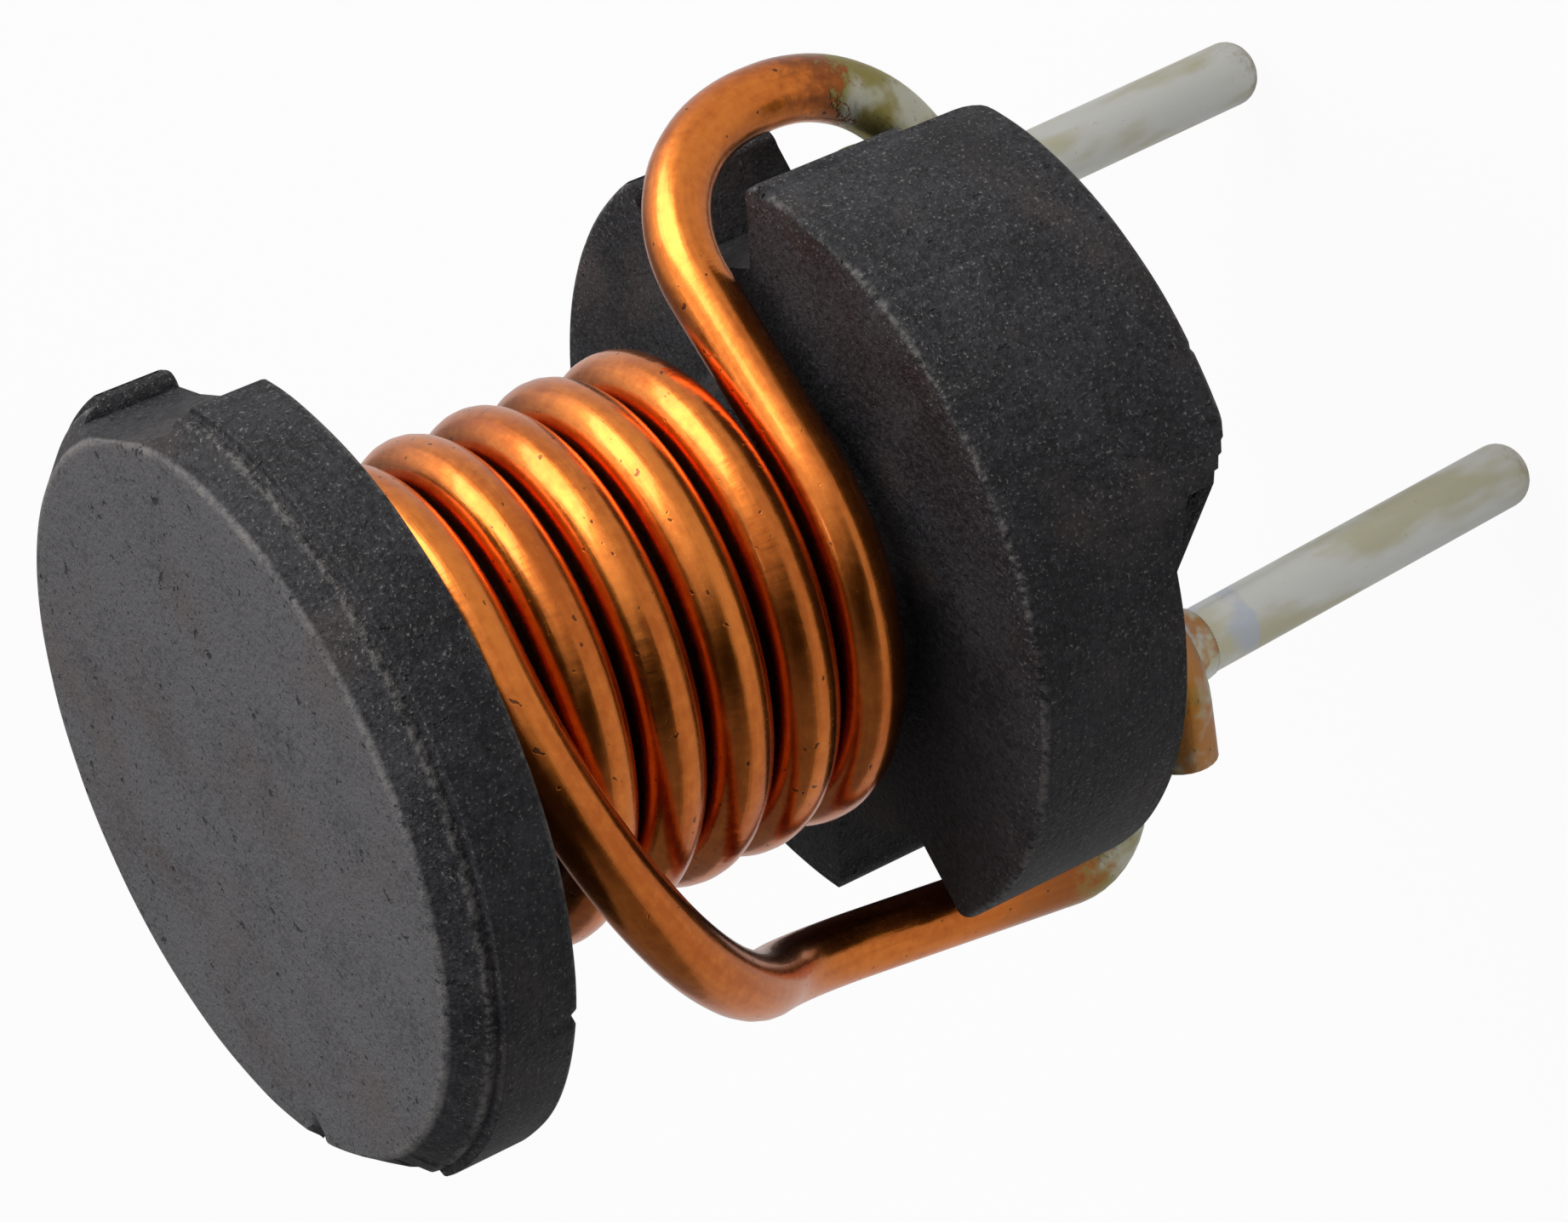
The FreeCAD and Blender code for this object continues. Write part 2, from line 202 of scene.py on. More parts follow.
def makeDrum():
    pads, lowerInner, upperInner, face = drumLevels()
    ridge = face - drum["chamferDepth"]
    land = ridge - drum["pressLand"]
    rim = drum["flangeRadius"]
    waist = drum["waistRadius"]
    punch = rim - drum["pressStep"]
    edge = drum["edgeRound"]
    corners = [
        (drum["centreRing"], pads, 0), (drum["faceRing"], pads, 0), (rim, pads, edge * 1.6),
        (rim, lowerInner, edge), (drum["innerRing"], lowerInner, 0), (waist, lowerInner, drum["waistRound"]),
        (waist, upperInner, drum["waistRound"]), (drum["innerRing"], upperInner, 0), (rim, upperInner, edge),
        (rim, land, drum["pressRound"]), (punch, land, drum["pressRound"]),
        (punch, ridge, drum["ridgeRound"]), (punch - drum["chamferReach"], face, drum["chamferRound"]),
        (drum["faceRing"], face, 0), (drum["centreRing"], face, 0),
    ]
    piece = latheUp("ferriteDrum", roundCorners(corners), drum["segments"])
    for turn in (drum["notchAngle"], drum["notchAngle"] + 180):
        lower = notchOutline(drum["lowerNotch"])
        carve(piece, prism("cut", [lower, lower], [pads - 1, lowerInner + 1], turn))
        upper = notchOutline(drum["upperNotch"])
        carve(piece, prism("cut", [upper, upper], [upperInner - 1, face + 1], turn))
    for turn in (0, 180):
        carve(piece, pocketCutter(turn))
    return piece


def pocketCutter(turn):
    # two walls from an inner corner out past the rim, with the pads' edges rounded over
    depth = drum["pocketDepth"]
    soft = drum["padRound"]
    reach = 2 * drum["flangeRadius"]
    hub = Vector((drum["pocketHub"], 0))
    notchSide, floorSide, padSide = drum["pocketSides"]
    levels = [(-0.4, soft)]  # starts below the pads
    for i in range(7):
        turned = math.radians(i * 15)
        levels.append((soft * (1 - math.cos(turned)), soft * (1 - math.sin(turned))))
    levels.append((depth, 0))
    outlines = []
    for rise, flare in levels:
        side = padSide + (floorSide - padSide) * max(0, rise) / depth
        outlines.append(pocketOutline(hub, reach, notchSide, side, flare))
    return prism("cut", outlines, [drum["padLevel"] + rise for rise, _ in levels], turn)


def pocketOutline(hub, reach, notchSide, side, flare):
    # hub, wall ends and far corners, every wall moved outwards by the flare
    ends = [around(reach, bearing, 0).to_2d() - hub for bearing in (notchSide, side)]
    runs = [(end - hub).normalized() for end in ends]
    outward = [Vector((runs[0].y, -runs[0].x)), Vector((-runs[1].y, runs[1].x))]
    shift = (outward[0] + outward[1]) * flare / (1 + outward[0].dot(outward[1]))
    first = ends[0] + outward[0] * flare
    last = ends[1] + outward[1] * flare
    return [tuple(hub + shift), tuple(first), (reach, -reach / 2), (reach, reach / 2), tuple(last)]


def chipPlaces():
    # the chips seen in the photograph, and smaller ones strewn along the other edges
    draw = random.Random(chips["seed"])
    pads, lowerInner, upperInner, face = drumLevels()
    rim = drum["flangeRadius"]
    edges = [(rim, pads), (rim, lowerInner), (rim, upperInner),
             (rim - drum["pressStep"], face - drum["chamferDepth"])]
    places = [(around(radius, angle, height), size) for radius, height, angle, size in chips["placed"]]
    for _ in range(chips["count"]):
        radius, height = draw.choice(edges)
        places.append((around(radius, draw.uniform(0, 360), height), draw.uniform(*chips["sizes"])))
    return places


def wearRims(piece):
    # pressed rims aren't perfect circles, and they are chipped: points only ever go inwards
    places = chipPlaces()
    levels = drumLevels()
    for vertex in piece.data.vertices:
        place = vertex.co / mm
        reach = math.hypot(place.x, place.y)
        if reach < chips["wornFrom"]:
            continue
        depth = drum["waviness"] * min(1, max(0, 0.5 + 0.5 * noise.noise(place * drum["waveScale"])))
        drop = 0
        for spot, size in places:
            gap = (place - spot).length / size
            if gap < 1.6:
                ragged = gap + 0.45 * noise.noise(place * 9 + spot) + 0.2 * noise.noise(place * 25)
                bite = max(0, 1 - max(0, ragged)) ** 0.6
                depth += size * 0.55 * bite
                drop += size * 0.45 * bite
        share = 1 - depth / reach
        vertex.co.x *= share
        vertex.co.y *= share
        nearest = min(levels, key=lambda level: abs(level - place.z))
        inward = 1 if nearest in (levels[0], levels[2]) else -1
        if abs(nearest - place.z) < chips["edgeReach"]:
            vertex.co.z += inward * drop * mm


ferriteDrum = makeDrum()
applyModifier(ferriteDrum, "BEVEL", width=drum["softEdge"] * mm, segments=3, limit_method="ANGLE",
              angle_limit=math.radians(drum["softAngle"]), use_clamp_overlap=True)
wearRims(ferriteDrum)
makeActive(ferriteDrum)
bpy.ops.object.shade_smooth_by_angle(angle=math.radians(32))
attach(ferriteDrum, "root")
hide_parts("drum_core")
print("drum turned, notched, bevelled and chipped:", len(ferriteDrum.data.polygons), "faces")


# the leads, that the wire's hooks go round
pin = dict(
    radius=0.325, pitch=5.0, top=2.81, below=3.88, tip=0.24, segments=64,
    leans=(1.8, 3.0), leanTowards=152, rootHeight=1.71,
)

wire = dict(
    radius=0.320, centreRadius=0.324, clearance=0.02, pitch=0.7225, drop=0.755,
    startAngle=84, endAngle=94.5, wholeTurns=5, hookGap=0.04, hookEase=0.95,
    tailAngle=43.4, tailLength=0.55, lowHookDrop=0.68,
    archReach=3.99, archFootAngle=156, archBend=1.68, archFootBend=1.70,
    shoulder=(3.52, -25.9, 3.455), foot=(3.965, -26.9),
    shoulderBend=1.83, footBend=0.60, leaveRun=3.80, leaveBend=3.0,
    step=0.10, sides=10, cutEdge=0.06,
)


def routePoints(corners, bends, step):
    # straight runs and tangent arcs, sampled at about one step
    points = [corners[0].copy()]
    for before, here, after, bend in zip(corners, corners[1:], corners[2:], bends):
        incoming = (here - before).normalized()
        outgoing = (after - here).normalized()
        half = incoming.angle(outgoing) / 2
        reach = bend * math.tan(half)
        middle = here + (outgoing - incoming).normalized() * bend / math.cos(half)
        start = here - incoming * reach
        end = here + outgoing * reach
        points += runPoints(points[-1], start, step)
        count = max(2, round(2 * half * bend / step))
        for i in range(1, count + 1):
            points.append(middle + (start - middle).slerp(end - middle, i / count) * bend)
    points += runPoints(points[-1], corners[-1], step)
    return points


def runPoints(start, end, step):
    count = round((end - start).length / step)
    return [start.lerp(end, i / count) for i in range(1, count + 1)] if count else []


def hookCorners(side, height, source):
    # two corners round the lead and the tail's end, for a wire that comes from the source
    centre = Vector((side * pin["pitch"] / 2, 0, height))
    radius = pin["radius"] + wire["hookGap"] + wire["centreRadius"]
    tail = wire["tailAngle"] + (180 if side < 0 else 0)
    away = Vector((source.x, source.y, height)) - centre
    bearing = math.degrees(math.atan2(away.y, away.x))
    swing = (bearing - math.degrees(math.acos(radius / away.length)) - tail) % 360
    corners = [centre + around(radius / math.cos(math.radians(swing / 4)), tail + part * swing, 0)
               for part in (0.75, 0.25)]
    end = centre + around(radius, tail, 0) + around(wire["tailLength"], tail - 90, 0)
    return corners + [end], radius * wire["hookEase"]


def windingPoints():
    coilRadius = drum["waistRadius"] + wire["clearance"] + wire["centreRadius"]
    pads, _, upperInner, _ = drumLevels()
    turns = wire["wholeTurns"] + (wire["endAngle"] - wire["startAngle"]) / 360
    coilHead = upperInner - wire["drop"]
    coilFoot = coilHead - turns * wire["pitch"]
    climb = wire["pitch"] / (2 * math.pi * coilRadius)
    foot = around(coilRadius, wire["endAngle"], coilFoot)
    offFoot = around(1, wire["endAngle"] + 90, -climb)
    archTop = foot + offFoot * math.sqrt(wire["archReach"] ** 2 - coilRadius ** 2)
    archFoot = around(wire["archReach"], wire["archFootAngle"], wire["centreRadius"])
    hook, hookBend = hookCorners(-1, wire["centreRadius"], archFoot)
    arch = routePoints([foot, archTop, archFoot] + hook,
                       [wire["archBend"], wire["archFootBend"], hookBend, hookBend], wire["step"])
    head = around(coilRadius, wire["startAngle"], coilHead)
    ease = head + around(1, wire["startAngle"] - 90, climb) * wire["leaveRun"]
    shoulder = around(wire["shoulder"][0], wire["shoulder"][1], upperInner - wire["shoulder"][2])
    lowHook = pads + drum["pocketDepth"] - wire["lowHookDrop"]
    over = around(wire["foot"][0], wire["foot"][1], lowHook)
    hook, hookBend = hookCorners(1, lowHook, over)
    straight = routePoints(
        [head, ease, shoulder, over] + hook,
        [wire["leaveBend"], wire["shoulderBend"], wire["footBend"], hookBend, hookBend], wire["step"])
    count = round(turns * 2 * math.pi * coilRadius / wire["step"])
    coil = []
    for i in range(1, count):
        share = i / count
        coil.append(around(coilRadius, wire["endAngle"] - turns * 360 * share,
                           coilFoot + turns * wire["pitch"] * share))
    return list(reversed(arch)) + coil + straight


def makeWinding():
    points = windingPoints()
    deselectAll()
    bpy.ops.curve.primitive_nurbs_path_add()
    path = newest("copperWinding")
    curve = path.data
    curve.splines.clear()
    spline = curve.splines.new("POLY")
    spline.points.add(len(points) - 1)
    for knot, place in zip(spline.points, points):
        knot.co = (place * mm).to_4d()
    curve.dimensions = "3D"
    curve.twist_mode = "MINIMUM"
    curve.bevel_depth = wire["radius"] * mm
    curve.bevel_resolution = wire["sides"]
    curve.use_fill_caps = True
    makeActive(path)
    bpy.ops.object.convert(target="MESH")
    piece = newest("copperWinding")
    makeActive(piece)
    bpy.ops.object.mode_set(mode="EDIT")
    bpy.ops.mesh.select_all(action="SELECT")
    bpy.ops.mesh.remove_doubles(threshold=1e-7)
    bpy.ops.mesh.normals_make_consistent(inside=False)
    bpy.ops.object.mode_set(mode="OBJECT")
    applyModifier(piece, "BEVEL", width=wire["cutEdge"] * mm, segments=3, limit_method="ANGLE",
                  angle_limit=math.radians(60))
    return piece, points


def pathFrames(points):
    # a direction and a side that turns with the wire but doesn't twist, at each point
    heads = [(b - a).normalized() for a, b in zip(points, points[1:])]
    heads.append(heads[-1])
    side = heads[0].orthogonal().normalized()
    frames = []
    for head in heads:
        side = (side - head * side.dot(head)).normalized()
        frames.append((head, side.copy()))
    return frames


def markAlong(piece, points):
    # each vertex learns how far along the wire it is, its side of it, and how far it faces in towards the
    # drum, where shade between the turns is painted
    frames = pathFrames(points)
    lengths = [0.0]
    for a, b in zip(points, points[1:]):
        lengths.append(lengths[-1] + (b - a).length)
    tree = KDTree(len(points))
    for i, place in enumerate(points):
        tree.insert(place, i)
    tree.balance()
    reach = drum["waistRadius"] + wire["clearance"] + wire["centreRadius"]
    run, skin, grooveShade = [], [], []
    for vertex in piece.data.vertices:
        place = vertex.co / mm
        centre, i, _ = tree.find(place)
        head, side = frames[i]
        off = place - centre
        run.append(lengths[i] + off.dot(head))
        skin += [run[-1], off.dot(side), off.dot(head.cross(side))]
        outward = Vector((centre.x, centre.y, 0)).normalized()
        inCoil = abs(math.hypot(centre.x, centre.y) - reach) < 0.02
        # on the coil: 1 on the side of the wire that faces the drum, where painted shade goes; off the coil
        # a small constant
        grooveShade.append(min(1, max(0, 0.5 - 0.5 * off.dot(outward) / wire["radius"])) if inCoil else 0.25)
    marks = (("run", "FLOAT", run, "value"), ("skin", "FLOAT_VECTOR", skin, "vector"),
             ("grooveShade", "FLOAT", grooveShade, "value"))
    for name, kind, values, field in marks:
        layer = piece.data.attributes.new(name, kind, "POINT")
        layer.data.foreach_set(field, values)
    return lengths[-1]


copperWinding, wirePoints = makeWinding()
wireLength = markAlong(copperWinding, wirePoints)
makeActive(copperWinding)
bpy.ops.object.shade_smooth_by_angle(angle=math.radians(50))
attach(copperWinding, "root")
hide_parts("winding")
print("winding mesh:", len(copperWinding.data.polygons), "faces, wire", round(wireLength, 1), "mm")


# the joint at each hook: (radius, height above the hook's centre line)
solder = dict(
    heights=(0.324, 1.03), highSide=152, lowShare=0.32, segments=64, bore=0.012, lumps=0.10,
    profile=[
        (0.30, 0.42), (0.52, 0.36), (0.74, 0.22), (0.86, 0.02), (0.82, -0.16),
        (0.66, -0.30), (0.52, -0.42), (0.43, -0.56), (0.37, -0.72), (0.345, -0.90),
    ],
)


def leanWith(piece, index):
    # both real leads lean a little, each about the place where its hole grips it
    side = -1 if index == 0 else 1
    root = Vector((side * pin["pitch"] / 2, 0, pin["rootHeight"])) * mm
    axis = around(1, pin["leanTowards"] + 90, 0)
    lean = Matrix.Rotation(-math.radians(pin["leans"][index]), 4, axis)
    piece.data.transform(Matrix.Translation(root) @ lean @ Matrix.Translation(-root))


def makePin(name, index):
    corners = [(0.02, -pin["below"] + 0.01, 0), (pin["radius"], -pin["below"] + 0.01, pin["tip"]),
               (pin["radius"], pin["top"], 0.03), (0.02, pin["top"], 0)]
    stations = roundCorners(corners, 8)
    piece = latheUp(name, stations, pin["segments"])
    piece.location.x = (-1, 1)[index] * pin["pitch"] / 2 * mm
    settle(piece)
    leanWith(piece, index)
    makeActive(piece)
    bpy.ops.object.shade_smooth_by_angle(angle=math.radians(32))
    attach(piece, "root")
    return piece


def makeJoint(name, index):
    # a hollow-sided collar of solder, full on the side where the wire comes round, thin opposite
    height = solder["heights"][index]
    lowest = 0.02 if index == 0 else -1  # the first joint stays above the board
    stations = [Vector((radius, max(lowest, height + rise))) for radius, rise in reversed(solder["profile"])]
    stations = [here for i, here in enumerate(stations) if i == 0 or here[1] > stations[i - 1][1] + 1e-4]
    piece = latheUp(name, stations, solder["segments"])
    full = math.radians(solder["highSide"] + (0 if index else 180))
    low = solder["lowShare"]
    for vertex in piece.data.vertices:
        reach = math.hypot(vertex.co.x, vertex.co.y) / mm
        turn = math.atan2(vertex.co.y, vertex.co.x)
        share = low + (1 - low) * (0.5 + 0.5 * math.cos(turn - full))
        spot = Vector((math.cos(turn), math.sin(turn), vertex.co.z / mm)) * 1.6
        share *= 1 + solder["lumps"] * noise.noise(spot)
        thick = max(0, reach - pin["radius"])
        fresh = pin["radius"] + solder["bore"] + thick * share if reach > pin["radius"] - 0.01 else reach
        vertex.co.x *= fresh / reach
        vertex.co.y *= fresh / reach
    applyModifier(piece, "SUBSURF", levels=1, render_levels=1)
    piece.location.x = (-1, 1)[index] * pin["pitch"] / 2 * mm
    settle(piece)
    leanWith(piece, index)
    makeActive(piece)
    bpy.ops.object.shade_smooth_by_angle(angle=math.radians(60))
    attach(piece, "root")
    return piece


leads = [makePin("leadOne", 0), makePin("leadTwo", 1)]
joints = [makeJoint("jointOne", 0), makeJoint("jointTwo", 1)]
for number in (0, 1):
    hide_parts("pin_%d" % (number + 1))
    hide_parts("solder_%d" % (number + 1))
print("leads and solder joints made")


class Socket:
    # wraps one output so that sums on it add Math nodes
    def __init__(self, tree, output):
        self.tree = tree
        self.output = output

    def math(self, kind, other, swap=False):
        first, second = (other, self) if swap else (self, other)
        return addNode(self.tree, "ShaderNodeMath", {"operation": kind}, {0: first, 1: second})

    def __add__(self, other):
        return self.math("ADD", other)

    def __sub__(self, other):
        return self.math("SUBTRACT", other)

    def __rsub__(self, other):
        return self.math("SUBTRACT", other, True)

    def __mul__(self, other):
        return self.math("MULTIPLY", other)

    def __pow__(self, other):
        return self.math("POWER", other)

    __radd__ = __add__
    __rmul__ = __mul__

    def lowest(self, other):
        return self.math("MINIMUM", other)

    def highest(self, other):
        return self.math("MAXIMUM", other)


def addNode(tree, kind, settings=None, inputs=None, output=0):
    # one way in for every node: settings first, then its sockets' values and links
    node = tree.nodes.new(kind)
    for key, value in (settings or {}).items():
        setattr(node, key, value)
    for key, value in (inputs or {}).items():
        if isinstance(value, Socket):
            tree.links.new(value.output, node.inputs[key])
        else:
            node.inputs[key].default_value = value
    return Socket(tree, node.outputs[output]) if len(node.outputs) else None


def newMaterial(name):
    material = bpy.data.materials.new(name)
    material.use_nodes = True
    tree = material.node_tree
    tree.nodes.clear()
    return material, tree


def objectSpace(tree):
    # object coordinates in millimetres
    coordinates = addNode(tree, "ShaderNodeTexCoord", output="Object")
    return addNode(tree, "ShaderNodeVectorMath", {"operation": "SCALE"}, {0: coordinates, 3: 1000.0})


def grain(tree, place, scale, detail=3.0, rough=0.55, seed=0.0):
    # noise about 0.5; the seed moves it so that two of them never match
    shift = (seed, seed * 0.7, -seed)
    shifted = addNode(tree, "ShaderNodeVectorMath", {"operation": "ADD"}, {0: place, 1: shift})
    return addNode(tree, "ShaderNodeTexNoise", {"noise_dimensions": "3D"},
                   {"Vector": shifted, "Scale": scale, "Detail": detail, "Roughness": rough})


def ramp(tree, factor, low, high):
    # 0 at low, 1 at high, eased
    return addNode(tree, "ShaderNodeMapRange", {"interpolation_type": "SMOOTHSTEP"},
                   {0: factor, 1: low, 2: high, 3: 0.0, 4: 1.0})


def blendColour(tree, factor, first, second):
    def full(colour):
        return colour if isinstance(colour, Socket) else (*colour, 1)
    return addNode(tree, "ShaderNodeMix", {"data_type": "RGBA"},
                   {0: factor, 6: full(first), 7: full(second)}, output=2)


def axisOf(tree, place, letter):
    return addNode(tree, "ShaderNodeSeparateXYZ", None, {0: place}, output="XYZ".index(letter))


def finishMaterial(tree, sockets, height, strength, distance):
    bump = {"Strength": strength, "Distance": distance, "Height": height}
    sockets["Normal"] = addNode(tree, "ShaderNodeBump", None, bump)
    shader = addNode(tree, "ShaderNodeBsdfPrincipled", None, sockets)
    addNode(tree, "ShaderNodeOutputMaterial", None, {"Surface": shader})


def dressIn(piece, material):
    piece.data.materials.clear()
    piece.data.materials.append(material)


def attribute(tree, name, output):
    # one of the marks that markAlong left on the wire
    return addNode(tree, "ShaderNodeAttribute", {"attribute_name": name}, output=output)


def stretch(tree, place, factors):
    return addNode(tree, "ShaderNodeVectorMath", {"operation": "MULTIPLY"}, {0: place, 1: factors})


ferrite = dict(
    # the plain face's colour is painted lighter than the sides: painted light, as the light falls on that
    # face
    dark=(0.009, 0.009, 0.011), mid=(0.030, 0.030, 0.034), face=(0.094, 0.091, 0.096),
    # chip is the colour of the paler round edges: wear, and partly a painted highlight along them
    # pale is the colour of painted glints on the ferrite
    rust=(0.075, 0.055, 0.050), pale=(0.34, 0.31, 0.28), chip=(0.16, 0.15, 0.14), pit=(0.010, 0.010, 0.012),
    edges=[(3.73, 0.80), (3.74, 3.30), (3.74, 8.25), (3.65, 9.07), (3.37, 9.35)], edgeWidth=0.075,
    faceFrom=(9.30, 9.34), sideFrom=(3.40, 3.55),
)


def edgeWearAndHighlight(tree, radius, height):
    # nearness to any of the drum's round edges, 1 on the edge
    nearest = None
    for edgeRadius, edgeHeight in ferrite["edges"]:
        across = radius - edgeRadius
        upward = height - edgeHeight
        gap = (across * across + upward * upward) ** 0.5
        nearest = gap if nearest is None else nearest.lowest(gap)
    return ramp(tree, nearest, ferrite["edgeWidth"], 0.01)


def makeFerrite():
    material, tree = newMaterial("firedFerrite")
    place = objectSpace(tree)
    across = axisOf(tree, place, "X")
    along = axisOf(tree, place, "Y")
    height = axisOf(tree, place, "Z")
    radius = (across * across + along * along) ** 0.5
    cloud = grain(tree, place, 1.1, 4, 0.6)
    fine = grain(tree, place, 13.0, 4, 0.6, 3)
    tiny = grain(tree, place, 30.0, 2, 0.6, 7)
    speck = grain(tree, place, 19.0, 1, 0.5, 21)
    rings = grain(tree, stretch(tree, place, (0.5, 0.5, 9.0)), 1.6, 3, 0.6, 15)
    pits = ramp(tree, grain(tree, place, 5.2, 3, 0.6, 11), 0.665, 0.72)
    smudge = ramp(tree, grain(tree, place, 0.75, 3, 0.55, 17), 0.5, 0.68)
    onFace = ramp(tree, height, *ferrite["faceFrom"])
    onSide = ramp(tree, radius, *ferrite["sideFrom"])
    mix = cloud * 0.35 + fine * 0.40 + tiny * 0.25
    colour = blendColour(tree, ramp(tree, mix, 0.40, 0.60), ferrite["dark"], ferrite["mid"])
    # painted light: the plain face is painted lighter than the sides, with random darker blotches on it
    litFaceShare = onFace * 0.85 - ramp(tree, mix, 0.52, 0.36) * onFace * 0.35
    colour = blendColour(tree, litFaceShare, colour, ferrite["face"])
    colour = blendColour(tree, smudge * 0.30, colour, ferrite["rust"])
    # painted glints: pale specks, more of them on the flanges' round sides, where the surface is also
    # glossier
    paintedSparkle = ramp(tree, tiny, 0.60, 0.72) * (0.10 + onSide * 0.22)
    colour = blendColour(tree, paintedSparkle, colour, ferrite["pale"])
    blackSpeck = ramp(tree, speck, 0.66, 0.73)
    colour = blendColour(tree, blackSpeck * 0.65, colour, ferrite["pit"])
    # paler along the round edges: wear, and partly a painted highlight along them
    wornAndHighlit = edgeWearAndHighlight(tree, radius, height) * ramp(tree, fine * 0.6 + cloud * 0.5, 0.46, 0.66)
    colour = blendColour(tree, wornAndHighlit * 0.55, colour, ferrite["chip"])
    colour = blendColour(tree, pits * 0.75, colour, ferrite["pit"])
    bumps = fine * 0.8 + tiny * 0.45 + rings * onSide * 0.5 - pits * 1.3 - blackSpeck * 0.35
    rough = 0.60 + (cloud - 0.5) * 0.25 - paintedSparkle * 0.4 - wornAndHighlit * 0.12
    finishMaterial(tree, {"Base Color": colour, "Roughness": rough, "Specular IOR Level": 0.20},
                   bumps, 0.75, 0.00004)
    return material


copper = dict(
    # the darkest copper colour here is painted shade, for the side of each turn that faces the drum
    crest=(0.76, 0.22, 0.034), body=(0.50, 0.115, 0.014), grooveShade=(0.085, 0.016, 0.004),
    burnt=(0.035, 0.020, 0.012), speck=(0.05, 0.018, 0.010), coat=0.25,
    silver=(0.46, 0.45, 0.36), olive=(0.27, 0.23, 0.075), amber=(0.42, 0.15, 0.018),
    tinnedFrom=4.85, tinnedTo=85.4, amberRun=(87.6, 88.6),
)


def makeCopper():
    material, tree = newMaterial("enamelledCopper")
    skin = attribute(tree, "skin", "Vector")
    run = attribute(tree, "run", "Fac")
    grooveShade = attribute(tree, "grooveShade", "Fac")
    broad = grain(tree, stretch(tree, skin, (0.35, 1.6, 1.6)), 1.0, 3, 0.55, 5)
    lines = grain(tree, stretch(tree, skin, (0.5, 7.0, 7.0)), 2.2, 3, 0.6, 9)
    mottle = grain(tree, skin, 9.0, 3, 0.6, 19)
    ripple = grain(tree, stretch(tree, skin, (9.0, 1.2, 1.2)), 1.3, 2, 0.5, 23)
    scuffed = ramp(tree, grain(tree, stretch(tree, skin, (0.5, 2.0, 2.0)), 0.9, 2, 0.5, 29), 0.52, 0.66)
    specks = ramp(tree, grain(tree, skin, 11.0, 1, 0.5, 13), 0.735, 0.78)
    colour = blendColour(tree, ramp(tree, broad * 0.5 + mottle * 0.3 + lines * 0.2, 0.36, 0.64),
                         copper["body"], copper["crest"])
    # painted shade: the copper darkens on the side of each turn that faces the drum, between the turns
    paintedGrooveShade = ramp(tree, grooveShade + (mottle - 0.5) * 0.25, 0.34, 0.80)
    colour = blendColour(tree, paintedGrooveShade * 0.9, colour, copper["grooveShade"])
    colour = blendColour(tree, specks * 0.8, colour, copper["speck"])
    ragged = (mottle - 0.5) * 1.2 + (broad - 0.5) * 1.6
    startTin = ramp(tree, run + ragged, copper["tinnedFrom"] + 0.12, copper["tinnedFrom"] - 0.12)
    endTin = ramp(tree, run + ragged, copper["tinnedTo"] - 0.35, copper["tinnedTo"] + 0.35)
    tinned = startTin.highest(endTin)
    scorched = (ramp(tree, run + ragged, copper["tinnedFrom"] + 1.0, copper["tinnedFrom"] + 0.1)
                .highest(ramp(tree, run + ragged, copper["tinnedTo"] - 1.6, copper["tinnedTo"] - 0.3)))
    colour = blendColour(tree, scorched * 0.55, colour, copper["burnt"])
    flux = grain(tree, skin, 1.5, 3, 0.55, 31)
    tin = blendColour(tree, ramp(tree, flux, 0.40, 0.56), copper["silver"], copper["olive"])
    stain = ramp(tree, grain(tree, skin, 1.9, 3, 0.6, 37), 0.38, 0.54) * ramp(tree, run, *copper["amberRun"])
    tin = blendColour(tree, stain * 0.85, tin, copper["amber"])
    tin = blendColour(tree, ramp(tree, mottle, 0.62, 0.74) * 0.5, tin, copper["burnt"])
    colour = blendColour(tree, tinned, colour, tin)
    rough = 0.17 + lines * 0.10 + mottle * 0.08 + paintedGrooveShade * 0.12 + tinned * 0.16
    heights = (lines * 0.35 + mottle * 0.25 + ripple * scuffed * 0.9 - specks * 0.5
               + tinned * (mottle * 0.8 + 0.6))
    finishMaterial(tree, {"Base Color": colour, "Metallic": 1.0, "Roughness": rough,
                          "Coat Weight": (1 - tinned) * copper["coat"], "Coat Roughness": 0.06},
                   heights, 0.30, 0.00002)
    return material


tin = dict(
    light=(0.60, 0.60, 0.57), warm=(0.45, 0.42, 0.26), cool=(0.42, 0.47, 0.58),
    brown=(0.22, 0.15, 0.07), amber=(0.40, 0.15, 0.02), wickEnd=-0.25, tipStart=-3.55,
)


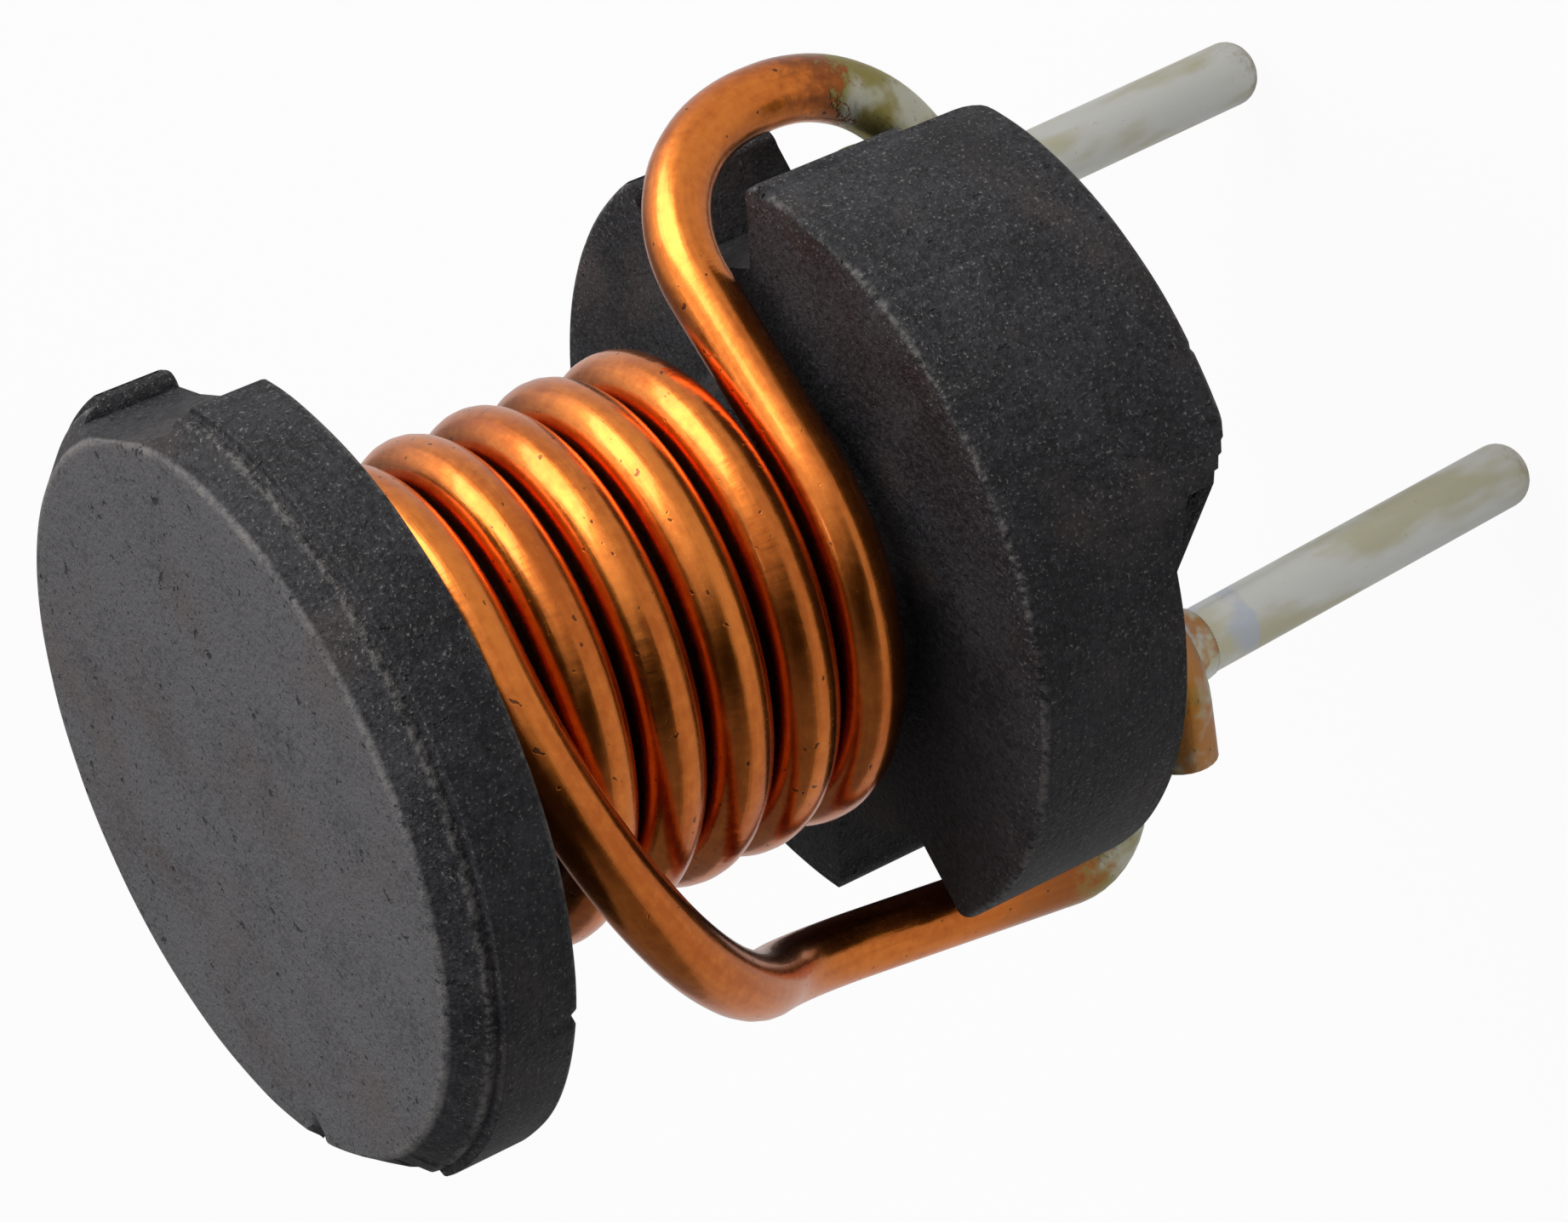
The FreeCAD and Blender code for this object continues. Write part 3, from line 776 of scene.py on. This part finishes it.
def makeTin(name, stained):
    material, tree = newMaterial(name)
    place = objectSpace(tree)
    height = axisOf(tree, place, "Z")
    broad = grain(tree, stretch(tree, place, (1.0, 1.0, 0.35)), 1.8, 3, 0.5, 2)
    patch = grain(tree, place, 1.3, 3, 0.55, 6)
    fine = grain(tree, place, 14.0, 3, 0.6, 4)
    drawn = grain(tree, stretch(tree, place, (6.0, 6.0, 0.5)), 2.6, 3, 0.6, 8)
    colour = blendColour(tree, ramp(tree, broad, 0.46, 0.62) * 0.75, tin["light"], tin["warm"])
    wick = ramp(tree, height + (patch - 0.5) * 0.5, tin["wickEnd"] - 0.03, tin["wickEnd"] + 0.03)
    colour = blendColour(tree, wick * ramp(tree, patch, 0.42, 0.58) * 0.7, colour, tin["cool"])
    uneven = height + (fine - 0.5) * 0.5 + (patch - 0.5) * 0.8
    tip = ramp(tree, uneven, tin["tipStart"], tin["tipStart"] - 0.35)
    colour = blendColour(tree, tip * 0.6, colour, tin["brown"])
    specks = ramp(tree, fine, 0.68, 0.76)
    colour = blendColour(tree, specks * 0.45, colour, tin["brown"])
    if stained:
        stain = ramp(tree, grain(tree, place, 2.2, 3, 0.6, 12), 0.47, 0.60)
        colour = blendColour(tree, stain * 0.85, colour, tin["amber"])
    rough = 0.26 + drawn * 0.12 + fine * 0.08 + tip * 0.15 - wick * 0.06
    finishMaterial(tree, {"Base Color": colour, "Metallic": 1.0, "Roughness": rough},
                   fine * 0.5 + drawn * 0.5 + wick * 0.8, 0.22, 0.00002)
    return material


dressIn(ferriteDrum, makeFerrite())
dressIn(copperWinding, makeCopper())
for lead in leads:
    dressIn(lead, makeTin("satinTin", False))
for joint in joints:
    dressIn(joint, makeTin("fluxedSolder", True))
print("materials ready")


stage = dict(floorLevel=-3.96, size=400, colour=(0.45, 0.45, 0.45), glossyShare=0.36, seenShare=0.95)


def makeFloor():
    deselectAll()
    bpy.ops.mesh.primitive_grid_add(x_subdivisions=4, y_subdivisions=4, size=stage["size"] * mm,
                                    location=(0, 0, stage["floorLevel"] * mm))
    floor = newest("paleFloor")
    settle(floor)
    material, tree = newMaterial("palePaper")
    rays = tree.nodes.new("ShaderNodeLightPath")
    seen = Socket(tree, rays.outputs["Is Camera Ray"])
    glossy = Socket(tree, rays.outputs["Is Glossy Ray"])
    clear = Socket(tree, rays.outputs["Is Transmission Ray"])
    paper = addNode(tree, "ShaderNodeBsdfPrincipled", None,
                    {"Base Color": (*stage["colour"], 1), "Roughness": 0.9})
    white = addNode(tree, "ShaderNodeEmission", None, {"Color": (1, 1, 1, 1), "Strength": 1.0})
    share = (seen * stage["seenShare"]).highest(glossy.highest(clear) * stage["glossyShare"])
    both = addNode(tree, "ShaderNodeMixShader", None, {0: share, 1: paper, 2: white})
    addNode(tree, "ShaderNodeOutputMaterial", None, {"Surface": both})
    dressIn(floor, material)


makeFloor()


camera = dict(
    place=(12.5986, 42.1357, 26.1554),
    right=(0.51180351, 0.28420266, -0.81073178),
    down=(0.82308997, -0.43258014, 0.36796375),
    lens=123.565,
)


def makeCamera():
    bpy.ops.object.camera_add(location=Vector(camera["place"]) * mm)
    eye = bpy.context.object
    right = Vector(camera["right"]).normalized()
    up = -Vector(camera["down"]).normalized()
    back = right.cross(up)
    turn = Matrix((right, up, back)).transposed()
    eye.matrix_world = Matrix.Translation(Vector(camera["place"]) * mm) @ turn.to_4x4()
    eye.data.lens = camera["lens"]
    eye.data.sensor_width = 36
    eye.data.clip_start = 0.001
    bpy.context.scene.camera = eye
    return back


viewBack = makeCamera()


# a white light tent: brighter on the key side, with a dark opening round the camera
tent = dict(wall=0.20, glow=1.25, glowFrom=(-0.80, 0.55, 0.25), glowEdge=(0.05, 0.95),
            opening=0.19, openingEdge=(0.50, 0.88))


def makeWorld():
    world = bpy.data.worlds.new("lightTent")
    bpy.context.scene.world = world
    world.use_nodes = True
    tree = world.node_tree
    tree.nodes.clear()
    rays = tree.nodes.new("ShaderNodeLightPath")
    seen = Socket(tree, rays.outputs["Is Camera Ray"])
    heading = addNode(tree, "ShaderNodeTexCoord", output="Generated")

    def towards(direction, edges):
        facing = addNode(tree, "ShaderNodeVectorMath", {"operation": "DOT_PRODUCT"},
                         {0: heading, 1: Vector(direction).normalized()}, output="Value")
        return ramp(tree, facing, *edges)

    level = tent["wall"] + towards(tent["glowFrom"], tent["glowEdge"]) * tent["glow"]
    level = level - towards(viewBack, tent["openingEdge"]) * tent["opening"]
    strength = level * (1 - seen) + seen
    sky = addNode(tree, "ShaderNodeBackground", None, {"Color": (1, 1, 1, 1), "Strength": strength})
    addNode(tree, "ShaderNodeOutputWorld", None, {"Surface": sky})


makeWorld()


lamps = dict(
    aimHeight=4.5, distance=90,
    keyLamp=dict(towards=(-0.80, 0.48, 0.42), size=(80, 60), power=0.062, colour=(1.0, 0.97, 0.93)),
    faceFill=dict(towards=(-0.05, 0.08, 1.0), size=(60, 60), power=0.032, colour=(1, 1, 1)),
)


def softbox(name, towards, size, power, colour):
    # a lamp in a given direction from the object's middle
    middle = Vector((0, 0, lamps["aimHeight"]))
    place = middle + Vector(towards).normalized() * lamps["distance"]
    bpy.ops.object.light_add(type="AREA", location=place * mm)
    lamp = bpy.context.object
    lamp.name = name
    lamp.data.shape = "RECTANGLE"
    lamp.data.size = size[0] * mm
    lamp.data.size_y = size[1] * mm
    lamp.data.energy = power
    lamp.data.color = colour
    lamp.rotation_euler = (middle - place).to_track_quat("-Z", "Y").to_euler()


for name in ("keyLamp", "faceFill"):
    softbox(name, **lamps[name])
bpy.context.scene.view_settings.view_transform = "Standard"
print("stage, lights and camera set")
